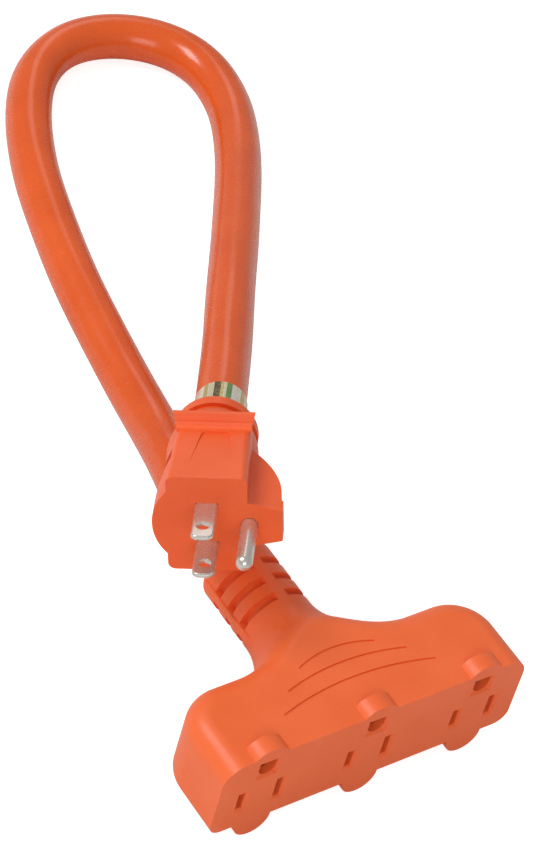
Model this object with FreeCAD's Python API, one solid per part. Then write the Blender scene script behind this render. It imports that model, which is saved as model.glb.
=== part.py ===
# A short heavy-duty extension cord: a moulded tap with three grounded outlets, a loop of
# round three-core cord, and a moulded plug with finger wings that lies across the tap's neck.
#
# Millimetres. +X runs along the row of outlets, +Y from the outlets' face back to the cord, +Z is up.
# The origin is under the middle of the tap, on the surface that its tabs and the cord rest on.
import FreeCAD, Part
import math
import os

from FreeCAD import Vector

# ---- outlets and blades: the standard 15 A grounded pattern -------------------------------
blade_spacing = 12.7          # between the two blades, centre to centre
ground_rise = 11.9            # from the line of the blades to the ground pin
blade_width = 6.35
blade_thickness = 1.5
blade_length = 16.5           # from the plug's face
blade_hole_radius = 2.0
blade_hole_place = 11.0       # from the plug's face
ground_pin_radius = 2.4
ground_pin_length = 20.5
ground_root_radius = 2.0      # the pin inside the plug, behind its shoulder
relief_gap = 0.1              # round the pin's shoulder, in a shallow ring in the plug's face
relief_depth = 0.4

# ---- the tap's moulding -------------------------------------------------------------------
outlet_count = 3
outlet_pitch = 37.0
end_margin = 15.2             # from the last outlet's middle to the end of the tap
face_above = 17.6             # from the line of the slots to the top
face_below = 11.0             # from the line of the slots to the underside
tab_drop = 17.5               # from the line of the slots to the foot of the tabs
tab_width = 12.0
arch_width = 11.4
arch_rise = 2.8
boss_depth = 5.3              # how far the arches and tabs run back from the face
body_depth = 30.0
corner_radius = 14.0
top_edge_radius = 7.0
under_edge_radius = 4.5
flare_radius = 19.0
neck_wall = 3.65              # round the cord
neck_drop = 1.2               # the cord's axis below the middle of the body's height
neck_length = 43.5            # from the back of the body to the end of the neck
neck_end_radius = 2.6
face_wall = 3.2
line_slot_height = 7.0
neutral_slot_height = 8.3
slot_width = 2.1
slot_lead_in = 0.7
ground_opening_radius = 2.85

# ---- grooves in the neck and on top -------------------------------------------------------
neck_groove_count = 3
neck_groove_width = 2.8
neck_groove_pitch = 6.5
neck_groove_depth = 2.0
first_groove_from_end = 10.4
neck_bridge_width = 3.4       # left standing across each groove, top and underneath
neck_rail_width = 3.2         # left standing along each side
neck_rail_proud = 0.5
mark_width = 0.75
mark_depth = 0.4
marks = [                     # half-length, distance of its ends from the face, bow
    (13.0, 23.2, 2.7),
    (20.5, 17.4, 3.0),
    (26.2, 10.7, 3.8),
]

# ---- inside the tap -----------------------------------------------------------------------
block_end_wall = 4.2          # moulding left at each end of the socket block
block_above = 15.6            # from the line of the slots to the block's top
block_below = 8.2
block_depth = 13.5
cover_depth = 4.0
strip_thickness = 0.8
strip_height = 3.0
leaf_thickness = 0.6
leaf_gap = 1.8
leaf_height = 6.6
pad_half_width = 2.2
ground_bore_radius = 2.65
ground_bore_length = 4.0
ground_clip_inner = 2.35
ground_clip_wall = 0.5
tail_width = 3.0
tail_offset = 5.0             # line and neutral tails, each side of the middle
crimp_room_side = 3.8         # past the outer tails
crimp_room_under = 3.2
crimp_room_over = 4.8
crimp_room_depth = 9.5
core_room_radius = 11.6       # where the cores spread from the jacket
core_start = 4.0              # a core's straight run out of its crimp in the tap
core_finish = 3.6             # and its straight run into the jacket

# ---- cord ---------------------------------------------------------------------------------
cord_diameter = 15.5
core_radius = 2.2
core_gap = 0.3                # between one core's insulation and the next
bundle_gap = 0.24             # between the three cores and the jacket
conductor_radius = 1.2
filler_radius = 0.9
filler_gap = 0.1              # between a filler and the jacket
tap_anchor = 35.0             # jacket held inside the tap's neck
plug_anchor = 13.0            # jacket held inside the plug
core_turn = 40.0              # degrees the cores are turned about the cord's axis, at the tap
core_room = 0.5               # round each core in the mouldings
label_length = 14.0
label_gap = 1.0
label_thickness = 0.2

# ---- plug ---------------------------------------------------------------------------------
plug_half_width = 11.5        # at the face
plug_back_half_width = 10.6   # at the finger ridges
plug_half_height = 15.6
plug_edge_radius = 2.2
plug_length = 48.5
panel_length = 26.6
ridge_thickness = 3.0
ridge_rise = 3.9
ridge_half_width = 11.8       # at its top
ridge_foot_half_width = 10.2
cord_shift = -1.5             # the cord's axis from the blades' middle, away from the ground pin
shoulder_wall = 5.2           # round the cord
waist_wall = 3.5
disc_wall = 4.7
disc_thickness = 4.4
ground_wing_reach = 21.2
ground_wing_root = 8.0
ground_wing_tip = 5.0
wing_tab_length = 5.3
wing_tab_step = 0.8
back_wing_reach = 15.7
back_wing_half_height = 10.4
back_wing_length = 18.5
recess_front_width = 12.6
recess_back_width = 7.9
recess_front = 7.4
recess_back = 24.0
recess_depth = 0.6
recess_shift = 0.8
plug_face_wall = 3.0
bridge_depth = 7.0
bridge_half_height = 10.5
bridge_half_width = 6.2
bridge_ground_width = 4.1     # past the ground pin
plug_room_half_width = 4.2
plug_room_half_height = 8.8
plug_room_depth = 5.0         # behind the crimps
ground_room_half_width = 3.4
ground_room_half_height = 3.9
plug_core_start = 2.6         # a core's straight run out of the jacket in the plug
plug_core_finish = 3.2        # and its straight run into its crimp

# ---- crimps and fits ----------------------------------------------------------------------
crimp_length = 5.0
crimp_wall = 0.7
crimp_stand_off = 0.8         # from the piece that a tail leaves to its crimp
fit_gap = 0.1                 # between a crimp's sleeve and what it holds
pocket_gap = 0.4              # round a spring contact in its pocket

# ---- where the plug lies: its face, the way its pins point, and its roll ------------------
plug_face_place = Vector(-22.0, 29.1, 55.4)
plug_heading = -129.7
plug_climb = 11.9
plug_roll = 13.7

# ---- worked out ---------------------------------------------------------------------------
tap_depth = body_depth + neck_length
face_y = -tap_depth / 2
neck_end_y = tap_depth / 2
slot_z = tab_drop
top_z = slot_z + face_above
under_z = slot_z - face_below
axis_z = (top_z + under_z) / 2 - neck_drop
half_length = (outlet_count - 1) * outlet_pitch / 2 + end_margin
outlets = [(n - (outlet_count - 1) / 2) * outlet_pitch for n in range(outlet_count)]
line_slot = -blade_spacing / 2
neutral_slot = blade_spacing / 2
ground_z = slot_z + ground_rise
cord_radius = cord_diameter / 2
neck_radius = cord_radius + neck_wall
core_ring = (core_radius + core_gap / 2) / math.sin(math.radians(60))
jacket_bore = core_ring + core_radius + bundle_gap
filler_ring = jacket_bore - filler_radius - filler_gap
block_front_y = face_y + face_wall
strip_y = block_front_y + block_depth
cover_end_y = strip_y + cover_depth
leaf_length = block_depth - ground_bore_length - pocket_gap
tap_crimp_y = cover_end_y + crimp_stand_off
tap_core_y = tap_crimp_y + crimp_length
line_strip_z = slot_z - 5.5
neutral_strip_z = slot_z + 5.7
ground_strip_z = slot_z + 10.6
jacket_start_y = neck_end_y - tap_anchor

# The free cord's line, from the end of the tap's neck to the back of the plug.
# It sinks from the neck to the surface, goes round the loop, and climbs to the plug.
route = [
    Vector(0.0, neck_end_y, axis_z),
    Vector(0.0, 57.0, axis_z),
    Vector(6.0, 78.0, 17.5),
    Vector(13.0, 100.0, 10.5),
    Vector(17.5, 123.0, cord_radius),
    Vector(21.0, 146.5, cord_radius),
    Vector(25.5, 170.0, cord_radius),
    Vector(31.5, 194.0, cord_radius),
    Vector(39.0, 218.0, cord_radius),
    Vector(49.5, 240.5, cord_radius),
    Vector(63.0, 258.5, cord_radius),
    Vector(80.0, 267.5, cord_radius),
    Vector(98.0, 266.5, cord_radius),
    Vector(113.0, 257.0, cord_radius),
    Vector(120.5, 242.0, cord_radius),
    Vector(119.0, 223.5, cord_radius),
    Vector(109.5, 203.5, 11.0),
    Vector(90.0, 174.5, 17.5),
    Vector(55.0, 128.5, 29.8),
]
plug_run = 27.0               # the straight run into the plug

X = Vector(1, 0, 0)
Y = Vector(0, 1, 0)
Z = Vector(0, 0, 1)


# ---- small tools --------------------------------------------------------------------------
def box(low, high):
    """A block between two corners."""
    return Part.makeBox(high[0] - low[0], high[1] - low[1], high[2] - low[2], Vector(*low))


def prism(edges, direction):
    """The closed outline made of these edges, carried along a direction."""
    return Part.Face(Part.Wire(edges)).extrude(direction)


def polygon(points):
    """The straight edges of a closed outline."""
    return [Part.LineSegment(a, b).toShape() for a, b in zip(points, points[1:] + points[:1])]


def line(a, b):
    return Part.LineSegment(a, b).toShape()


def arc(a, middle, b):
    return Part.Arc(a, middle, b).toShape()


def rounded_route(points):
    """Straight runs joined by tangent arcs, each as large as its two runs allow."""
    edges = []
    radii = []
    start = points[0]
    for before, here, after in zip(points, points[1:], points[2:]):
        towards = here - before
        away = after - here
        shorter = min(towards.Length, away.Length)
        towards.normalize()
        away.normalize()
        turn = towards.getAngle(away)
        reach = 0.45 * shorter
        radius = reach / math.tan(turn / 2)
        first = here - towards * reach
        last = here + away * reach
        inward = away - towards
        inward.normalize()
        middle = here + inward * (radius / math.cos(turn / 2) - radius)
        edges.append(line(start, first))
        edges.append(arc(first, middle, last))
        start = last
        radii.append(radius)
    edges.append(line(start, points[-1]))
    return Part.Wire(edges), radii


def sweep(path, centre, radius, direction):
    """A round bar that starts at centre and keeps its place in the cord's section without twist."""
    ring = Part.Wire([Part.makeCircle(radius, centre, direction)])
    shell = Part.BRepOffsetAPI.MakePipeShell(path)
    shell.setFrenetMode(False)
    shell.add(ring)
    shell.build()
    shell.makeSolid()
    return shell.shape()


# ---- where the plug is --------------------------------------------------------------------
def plug_frame():
    """The plug's own axes: X to the ground pin, Y up through the blades, Z the way the pins point."""
    heading = math.radians(plug_heading)
    climb = math.radians(plug_climb)
    roll = math.radians(plug_roll)
    level = Vector(-math.sin(heading), math.cos(heading), 0)
    ahead = Vector(
        math.cos(climb) * math.cos(heading),
        math.cos(climb) * math.sin(heading),
        math.sin(climb),
    )
    side = level * math.cos(roll) + ahead.cross(level) * math.sin(roll)
    up = ahead.cross(side)
    return side, up, ahead


side, up, ahead = plug_frame()
plug_matrix = FreeCAD.Matrix(
    side.x, up.x, ahead.x, plug_face_place.x,
    side.y, up.y, ahead.y, plug_face_place.y,
    side.z, up.z, ahead.z, plug_face_place.z,
    0, 0, 0, 1,
)
plug_placement = FreeCAD.Placement(plug_matrix)


def in_plug(point):
    """A point given in the plug's own axes."""
    return plug_placement.multVec(point)


plug_back = in_plug(Vector(cord_shift, 0, -plug_length))
route = route + [plug_back - ahead * plug_run, plug_back]


def placed_in_plug(shape):
    """A copy of a shape made in the plug's own axes, where the plug lies."""
    copy = shape.copy()
    copy.Placement = plug_placement.multiply(copy.Placement)
    return copy


# ---- the tap's outside --------------------------------------------------------------------
def tap_plan():
    """The body's plan with round back corners, run on to the end of the neck."""
    back = face_y + body_depth
    low = under_z
    bend = corner_radius * (1 - math.sqrt(0.5))
    right = half_length
    a = Vector(-right, face_y, low)
    b = Vector(right, face_y, low)
    c = Vector(right, back - corner_radius, low)
    c2 = Vector(right - bend, back - bend, low)
    d = Vector(right - corner_radius, back, low)
    e = Vector(neck_radius * 3, back, low)
    e2 = Vector(neck_radius * 3, neck_end_y + 5, low)
    f2 = Vector(-e2.x, e2.y, low)
    f = Vector(-e.x, e.y, low)
    g = Vector(-d.x, d.y, low)
    g2 = Vector(-c2.x, c2.y, low)
    h = Vector(-c.x, c.y, low)
    return [
        line(a, b), line(b, c), arc(c, c2, d), line(d, e), line(e, e2),
        line(e2, f2), line(f2, f), line(f, g), arc(g, g2, h), line(h, a),
    ]


def tap_turned_form():
    """The trumpet of the neck and the flat back of the body, turned about the cord's axis."""
    back = face_y + body_depth
    reach = half_length * 1.3
    bend = flare_radius * (1 - math.sqrt(0.5))
    points = [
        Vector(0, face_y, axis_z),
        Vector(reach, face_y, axis_z),
        Vector(reach, back, axis_z),
        Vector(neck_radius + flare_radius, back, axis_z),
        Vector(neck_radius + bend, back + bend, axis_z),
        Vector(neck_radius, back + flare_radius, axis_z),
        Vector(neck_radius, neck_end_y, axis_z),
        Vector(0, neck_end_y, axis_z),
    ]
    edges = [
        line(points[0], points[1]),
        line(points[1], points[2]),
        line(points[2], points[3]),
        arc(points[3], points[4], points[5]),
        line(points[5], points[6]),
        line(points[6], points[7]),
        line(points[7], points[0]),
    ]
    profile = Part.Face(Part.Wire(edges))
    return profile.revolve(Vector(0, 0, axis_z), Y, 360)


def edges_at_height(shape, height):
    """Edges that lie wholly at one height, apart from the one along the outlets' face."""
    found = []
    for edge in shape.Edges:
        low = edge.BoundBox
        level = abs(low.ZMin - height) < 0.01 and abs(low.ZMax - height) < 0.01
        in_face = abs(low.YMax - face_y) < 0.01
        if level and not in_face:
            found.append(edge)
    return found


def tap_form():
    """The body and neck with their edges rounded, before anything is cut."""
    form = prism(tap_plan(), Z * (top_z - under_z)).common(tap_turned_form())
    form = form.removeSplitter()
    form = form.makeFillet(top_edge_radius, edges_at_height(form, top_z))
    form = form.makeFillet(under_edge_radius, edges_at_height(form, under_z))
    rim = [
        e for e in form.Edges
        if abs(e.BoundBox.YMin - neck_end_y) < 0.01 and abs(e.BoundBox.YMax - neck_end_y) < 0.01
    ]
    return form.makeFillet(neck_end_radius, rim)


def outlet_bosses():
    """The arch above each outlet and the round tab below it."""
    arch_radius = ((arch_width / 2) ** 2 + arch_rise**2) / (2 * arch_rise)
    tab_radius = tab_width / 2
    bosses = []
    for x in outlets:
        centre = Vector(x, face_y, top_z + arch_rise - arch_radius)
        arch = Part.makeCylinder(arch_radius, boss_depth, centre, Y)
        keep = box(
            (x - arch_width, face_y, axis_z),
            (x + arch_width, face_y + boss_depth, top_z + 2 * arch_rise),
        )
        bosses.append(arch.common(keep))
        foot = Vector(x, face_y, slot_z - tab_drop + tab_radius)
        tab = Part.makeCylinder(tab_radius, boss_depth, foot, Y)
        stem = box(
            (x - tab_radius, face_y, foot.z),
            (x + tab_radius, face_y + boss_depth, under_z + under_edge_radius),
        )
        bosses.append(tab.fuse(stem))
    return bosses


def ground_opening(x, radius, depth, grow):
    """A ground opening: round below, flat above, widened by grow at its mouth."""
    r = radius + grow
    y = face_y - 0.01
    a = Vector(x - r, y, ground_z)
    b = Vector(x, y, ground_z - r)
    c = Vector(x + r, y, ground_z)
    d = Vector(x + r, y, ground_z + r)
    e = Vector(x - r, y, ground_z + r)
    return prism([arc(a, b, c), line(c, d), line(d, e), line(e, a)], Y * depth)


def slot_cut(x, height):
    """A blade slot through the face, with a sloped lead-in."""
    half = slot_width / 2
    tall = height / 2
    depth = face_wall + 0.02
    slot = box(
        (x - half, face_y - 0.01, slot_z - tall),
        (x + half, face_y + depth, slot_z + tall),
    )
    return slot.fuse(lead_in(x, slot_z, half, tall))


def lead_in(x, z, half, tall):
    """The sloped rim round a rectangular opening."""
    wide = Part.Wire(polygon(ring_points(x, z, half + slot_lead_in, tall + slot_lead_in, face_y)))
    narrow = Part.Wire(polygon(ring_points(x, z, half, tall, face_y + slot_lead_in)))
    return Part.makeLoft([wide, narrow], True, True)


def ring_points(x, z, half, tall, y):
    return [
        Vector(x - half, y, z - tall),
        Vector(x + half, y, z - tall),
        Vector(x + half, y, z + tall),
        Vector(x - half, y, z + tall),
    ]


def outlet_cuts():
    """All the openings in the face."""
    cuts = []
    for x in outlets:
        cuts.append(slot_cut(x + line_slot, line_slot_height))
        cuts.append(slot_cut(x + neutral_slot, neutral_slot_height))
        cuts.append(ground_opening(x, ground_opening_radius, face_wall + 0.02, 0))
        r = ground_opening_radius
        cuts.append(lead_in(x, ground_z, r, r))
    return cuts


def neck_rails():
    """A low rail along each side of the neck."""
    reach = neck_radius + neck_rail_proud
    half = neck_rail_width / 2
    start = face_y + body_depth + flare_radius * 0.6
    bar = box((-reach, start, axis_z - half), (reach, neck_end_y - neck_end_radius, axis_z + half))
    edges = [e for e in bar.Edges if e.BoundBox.YLength > 1]
    return bar.makeFillet(neck_rail_proud, edges)


def neck_grooves():
    """Rings of short grooves in the neck, with bridges above and below and a rail each side."""
    rings = []
    for n in range(neck_groove_count):
        y = neck_end_y - first_groove_from_end - n * neck_groove_pitch
        outer = Part.makeCylinder(neck_radius + 3, neck_groove_width, Vector(0, y, axis_z), Y)
        inner = Part.makeCylinder(
            neck_radius - neck_groove_depth, neck_groove_width, Vector(0, y, axis_z), Y
        )
        ring = outer.cut(inner)
        bridge = box(
            (-neck_bridge_width / 2, y - 1, axis_z - 2 * neck_radius),
            (neck_bridge_width / 2, y + neck_groove_width + 1, axis_z + 2 * neck_radius),
        )
        rail = box(
            (-2 * neck_radius, y - 1, axis_z - neck_rail_width / 2),
            (2 * neck_radius, y + neck_groove_width + 1, axis_z + neck_rail_width / 2),
        )
        rings.append(ring.cut(bridge.fuse(rail)))
    return rings


def top_marks():
    """Three thin bowed grooves on top of the body, in front of the neck."""
    cuts = []
    for half, back, bow in marks:
        radius = (half**2 + bow**2) / (2 * bow)
        centre_y = face_y + back + bow - radius
        high = Vector(0, centre_y, top_z - mark_depth)
        outer = Part.makeCylinder(radius + mark_width / 2, 2 * mark_depth, high, Z)
        inner = Part.makeCylinder(radius - mark_width / 2, 2 * mark_depth, high, Z)
        keep = box(
            (-half, face_y + back - mark_width, top_z - mark_depth),
            (half, face_y + back + bow + mark_width, top_z + mark_depth),
        )
        cuts.append(outer.cut(inner).common(keep))
    return cuts


# ---- the tap's inside ---------------------------------------------------------------------
def block_space():
    """The space that the socket block and its cover fill."""
    return box(
        (-half_length + block_end_wall, block_front_y, slot_z - block_below),
        (half_length - block_end_wall, cover_end_y, slot_z + block_above),
    )


def lead_chamber():
    """The space behind the cover where the cores spread from the jacket to their crimps."""
    square = box(
        (-tail_offset - crimp_room_side, cover_end_y, line_strip_z - crimp_room_under),
        (tail_offset + crimp_room_side, cover_end_y + crimp_room_depth, ground_strip_z + crimp_room_over),
    )
    cone_start = cover_end_y + crimp_room_depth - 1
    length = jacket_start_y - cone_start
    cone = Part.makeCone(core_room_radius, cord_radius, length, Vector(0, cone_start, axis_z), Y)
    return square.fuse(cone)


def tap_overmould():
    """The outer moulding, with the openings, the neck's grooves and the space inside."""
    form = tap_form()
    form = form.fuse(outlet_bosses() + [neck_rails()]).removeSplitter()
    bore = Part.makeCylinder(cord_radius, tap_anchor, Vector(0, jacket_start_y, axis_z), Y)
    cuts = outlet_cuts() + neck_grooves() + top_marks()
    cuts = cuts + [block_space(), lead_chamber(), bore]
    return form.cut(cuts)


def clip_pocket(x, z, half, tall):
    """A pocket for one spring contact, open to the back of the block."""
    return box(
        (x - half, block_front_y + ground_bore_length, z - tall),
        (x + half, strip_y, z + tall),
    )


def socket_block():
    """The inner block behind the face, with a slot and a pocket for every contact."""
    block = box(
        (-half_length + block_end_wall, block_front_y, slot_z - block_below),
        (half_length - block_end_wall, strip_y, slot_z + block_above),
    )
    leaf_half = leaf_gap / 2 + leaf_thickness + pocket_gap
    clip_radius = ground_clip_inner + ground_clip_wall + pocket_gap
    cuts = []
    for x in outlets:
        for place, height in ((line_slot, line_slot_height), (neutral_slot, neutral_slot_height)):
            mouth = box(
                (x + place - slot_width / 2, block_front_y, slot_z - height / 2),
                (x + place + slot_width / 2, block_front_y + ground_bore_length, slot_z + height / 2),
            )
            cuts.append(mouth)
            cuts.append(clip_pocket(x + place, slot_z, leaf_half, leaf_height / 2 + pocket_gap))
        start = Vector(x, block_front_y, ground_z)
        cuts.append(Part.makeCylinder(ground_bore_radius, ground_bore_length, start, Y))
        deep = Vector(x, block_front_y + ground_bore_length, ground_z)
        cuts.append(Part.makeCylinder(clip_radius, block_depth - ground_bore_length, deep, Y))
    return block.cut(cuts)


def block_cover():
    """The lid behind the block: a recess for the strips, and a window for each tail."""
    lid = box(
        (-half_length + block_end_wall, strip_y, slot_z - block_below),
        (half_length - block_end_wall, cover_end_y, slot_z + block_above),
    )
    rim = 0.9
    recess = box(
        (-half_length + block_end_wall + rim, strip_y, slot_z - block_below + 0.7),
        (half_length - block_end_wall - rim, strip_y + strip_thickness, slot_z + block_above - 0.7),
    )
    windows = []
    for x, z in tails():
        windows.append(box(
            (x - tail_width / 2 - fit_gap, strip_y, z - strip_thickness / 2 - fit_gap),
            (x + tail_width / 2 + fit_gap, cover_end_y, z + strip_thickness / 2 + fit_gap),
        ))
    return lid.cut([recess] + windows)


def tails():
    """Where the line, neutral and ground tails leave the cover."""
    return [
        (-tail_offset, line_strip_z),
        (tail_offset, neutral_strip_z),
        (0.0, ground_strip_z),
    ]


def strip_with_tail(low_x, high_x, z, tail_x):
    """The flat strip that joins three contacts, and the tail that its core is crimped to."""
    half = strip_height / 2
    strip = box((low_x, strip_y, z - half), (high_x, strip_y + strip_thickness, z + half))
    tail = box(
        (tail_x - tail_width / 2, strip_y, z - strip_thickness / 2),
        (tail_x + tail_width / 2, tap_core_y - fit_gap, z + strip_thickness / 2),
    )
    return strip.fuse(tail)


def spring_leaf(x, hand):
    """One leaf of a blade contact: straight at its root, pinched, and turned out at its mouth."""
    root = x + hand * leaf_gap / 2
    y0 = strip_y
    inner = [
        Vector(root, y0, 0),
        Vector(root, y0 - leaf_length * 0.55, 0),
        Vector(root - hand * 0.35, y0 - leaf_length * 0.8, 0),
        Vector(root + hand * 0.3, y0 - leaf_length, 0),
    ]
    outer = [v + Vector(hand * leaf_thickness, 0, 0) for v in reversed(inner)]
    outline = [v + Z * (slot_z - leaf_height / 2) for v in inner + outer]
    return prism(polygon(outline), Z * leaf_height)


def blade_bus(place, strip_z, tail_x):
    """The line or neutral strip with its three spring contacts."""
    low_x = outlets[0] + place - pad_half_width
    high_x = outlets[-1] + place + pad_half_width
    pieces = []
    for x in outlets:
        low = min(slot_z - leaf_height / 2, strip_z - strip_height / 2)
        high = max(slot_z + leaf_height / 2, strip_z + strip_height / 2)
        pieces.append(box(
            (x + place - pad_half_width, strip_y, low),
            (x + place + pad_half_width, strip_y + strip_thickness, high),
        ))
        pieces.append(spring_leaf(x + place, 1))
        pieces.append(spring_leaf(x + place, -1))
    return strip_with_tail(low_x, high_x, strip_z, tail_x).fuse(pieces).removeSplitter()


def ground_bus():
    """The ground strip with a split tube for each pin."""
    outer_radius = ground_clip_inner + ground_clip_wall
    length = block_depth - ground_bore_length - pocket_gap
    pieces = []
    for x in outlets:
        start = Vector(x, strip_y - length, ground_z)
        tube = Part.makeCylinder(outer_radius, length + strip_thickness, start, Y)
        bore = Part.makeCylinder(ground_clip_inner, length, start, Y)
        split = box(
            (x - 0.6, strip_y - length, ground_z - 4),
            (x + 0.6, strip_y - 1.5, ground_z + 4),
        )
        pieces.append(tube.cut([bore, split]))
    low_x = outlets[0] - outer_radius
    strip = strip_with_tail(low_x, -low_x, ground_strip_z, 0.0)
    return strip.fuse(pieces).removeSplitter()


# ---- crimps and cores ---------------------------------------------------------------------
def crimp_sleeve():
    """A folded sleeve along +Z that holds a flat tail, in its lower part, and a bare core above it."""
    half = tail_width / 2 + fit_gap
    low = -strip_thickness / 2 - fit_gap
    high = strip_thickness / 2 + 2 * conductor_radius + fit_gap
    outer = box(
        (-half - crimp_wall, low - crimp_wall, 0),
        (half + crimp_wall, high + crimp_wall, crimp_length),
    )
    edges = [e for e in outer.Edges if abs(e.BoundBox.ZMax - e.BoundBox.ZMin) > 1]
    outer = outer.makeFillet(crimp_wall, edges)
    inner = box((-half, low, 0), (half, high, crimp_length))
    return outer.cut(inner)


core_over_tail = strip_thickness / 2 + conductor_radius + fit_gap / 2


def tap_crimp(x, z):
    """A crimp on a tail behind the tap's cover."""
    sleeve = crimp_sleeve()
    sleeve.rotate(Vector(0, 0, 0), X, -90)
    sleeve.rotate(Vector(0, 0, 0), Y, 180)
    sleeve.translate(Vector(x, tap_crimp_y, z))
    return sleeve


def bend_run(points, radius):
    """A round bar along a short bent run."""
    path, _ = rounded_route(points)
    first = points[1] - points[0]
    first.normalize()
    ring = Part.Wire([Part.makeCircle(radius, points[0], first)])
    return path.makePipeShell([ring], True, False)


core_angles = {"line": 210, "neutral": 330, "ground": 90}


def core_offset(angle, ring):
    """From the cord's axis to a core or filler, where the cord leaves the tap along +Y."""
    turn = math.radians(angle + core_turn)
    return X * (ring * math.cos(turn)) + Z * (ring * math.sin(turn))


def end_centre(bar, near):
    """The middle of a bar's end face that lies nearest to a point."""
    faces = sorted(bar.Faces, key=lambda face: (face.CenterOfMass - near).Length)
    return faces[0].CenterOfMass


def cord_path():
    """The jacket's whole line: its grip in the tap, the free route, and its grip in the plug."""
    wire, radii = rounded_route(route)
    print("cord radii:", [round(r, 1) for r in radii])
    print("free cord length:", round(wire.Length, 1))
    last = route[-1] - route[-2]
    last.normalize()
    into_tap = line(route[0] - Y * tap_anchor, route[0])
    into_plug = line(route[-1], route[-1] + last * plug_anchor)
    return Part.Wire([into_tap] + wire.Edges + [into_plug]), last


def cord_pieces():
    """The jacket, its three cores of copper and insulation, and the fillers between them."""
    path, last = cord_path()
    start = route[0] - Y * tap_anchor
    pieces = {}
    outer = sweep(path, start, cord_radius, Y)
    bore = sweep(path, start, jacket_bore, Y)
    pieces["cord_jacket"] = outer.cut(bore)
    wall = math.pi * (cord_radius**2 - jacket_bore**2)
    print("jacket volume / section x length:", round(pieces["cord_jacket"].Volume / (wall * path.Length), 4))
    for name, angle in core_angles.items():
        centre = start + core_offset(angle, core_ring)
        skin = sweep(path, centre, core_radius, Y)
        copper = sweep(path, centre, conductor_radius, Y)
        pieces[name + "_insulation"] = (skin.cut(copper), centre)
        pieces[name + "_conductor"] = (copper, centre)
    fillers = []
    for angle in core_angles.values():
        centre = start + core_offset(angle + 180, filler_ring)
        fillers.append(sweep(path, centre, filler_radius, Y))
    pieces["cord_fillers"] = Part.makeCompound(fillers)
    return pieces, path, last


def tap_end_run(name, centre):
    """The bent run of one core from its crimp in the tap to the end of the jacket."""
    places = dict(zip(("line", "neutral", "ground"), tails()))
    x, z = places[name]
    z = z + core_over_tail
    return [
        Vector(x, tap_core_y, z),
        Vector(x, tap_core_y + core_start, z),
        Vector(centre.x, jacket_start_y - core_finish, centre.z),
        Vector(centre.x, jacket_start_y, centre.z),
    ]


def with_ends(name, pieces, last):
    """One core's insulation and copper, run on to both its crimps, and its run in the plug."""
    skin, centre = pieces[name + "_insulation"]
    copper, _ = pieces[name + "_conductor"]
    run = tap_end_run(name, centre)
    strip = Vector(0, crimp_length, 0)
    bare = Part.makeCylinder(conductor_radius, crimp_length, run[0] - strip, Y)
    tap_bar = bend_run(run, core_radius)
    tap_copper = bend_run(run, conductor_radius)
    exit_point = end_centre(copper, route[-1] + last * plug_anchor)
    plug_run_points = plug_end_run(name, exit_point, last)
    plug_bar = bend_run(plug_run_points, core_radius)
    plug_copper = bend_run(plug_run_points, conductor_radius)
    plug_bare = Part.makeCylinder(conductor_radius, crimp_length, plug_run_points[-1], ahead)
    insulation = skin.fuse([tap_bar.cut(tap_copper), plug_bar.cut(plug_copper)]).removeSplitter()
    conductor = copper.fuse([tap_copper, bare, plug_copper, plug_bare]).removeSplitter()
    return insulation, conductor, run, plug_run_points


# ---- the plug -----------------------------------------------------------------------------
# These are made in the plug's own axes. A place s behind the face is at z = -s.
bridge_back = -(plug_face_wall + bridge_depth)
crimp_back = bridge_back - crimp_stand_off - crimp_length
jacket_stop = plug_anchor - plug_length
tail_places = {
    "line": (0.0, -blade_spacing / 2),
    "neutral": (0.0, blade_spacing / 2),
    "ground": (ground_rise, 0.0),
}
core_sides = {"line": 1, "neutral": -1, "ground": 1}


def plug_end_run(name, exit_point, last):
    """The bent run of one core from the end of the jacket to its crimp in the plug."""
    x, y = tail_places[name]
    y = y + core_sides[name] * core_over_tail
    crimp_point = in_plug(Vector(x, y, crimp_back))
    return [
        exit_point,
        exit_point + last * plug_core_start,
        crimp_point - ahead * plug_core_finish,
        crimp_point,
    ]


def plug_block():
    """The body in front of the finger ridges, a little narrower at the ridges than at its face."""
    back = -panel_length - ridge_thickness
    block = prism(polygon([
        Vector(-plug_back_half_width, -plug_half_height, back),
        Vector(plug_back_half_width, -plug_half_height, back),
        Vector(plug_half_width, -plug_half_height, 0),
        Vector(-plug_half_width, -plug_half_height, 0),
    ]), Y * (2 * plug_half_height))
    edges = [e for e in block.Edges if e.BoundBox.ZLength > 1]
    return block.makeFillet(plug_edge_radius, edges)


def plug_ridge():
    """One finger ridge across the body, with a hollow foot towards the face."""
    foot = 2.0
    top = plug_half_height + ridge_rise
    z = -panel_length
    back = z - ridge_thickness
    lean = 0.6
    points = [
        Vector(-ridge_half_width, plug_half_height - 2, z + foot),
        Vector(-ridge_half_width, plug_half_height, z + foot),
        Vector(-ridge_half_width, plug_half_height + foot, z),
        Vector(-ridge_half_width, top, z - lean),
        Vector(-ridge_half_width, top, back + 1.0),
        Vector(-ridge_half_width, plug_half_height - 2, back - 2.0),
    ]
    curve = foot * (1 - math.sqrt(0.5))
    hollow = Vector(-ridge_half_width, plug_half_height + curve, z + curve)
    edges = [
        line(points[0], points[1]),
        arc(points[1], hollow, points[2]),
        line(points[2], points[3]),
        line(points[3], points[4]),
        line(points[4], points[5]),
        line(points[5], points[0]),
    ]
    low = plug_half_height - 2
    ends = prism(polygon([
        Vector(-ridge_foot_half_width, low, back - foot),
        Vector(ridge_foot_half_width, low, back - foot),
        Vector(ridge_half_width, top, back - foot),
        Vector(-ridge_half_width, top, back - foot),
    ]), Z * (ridge_thickness + 2 * foot))
    return prism(edges, X * (2 * ridge_half_width)).common(ends)


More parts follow.
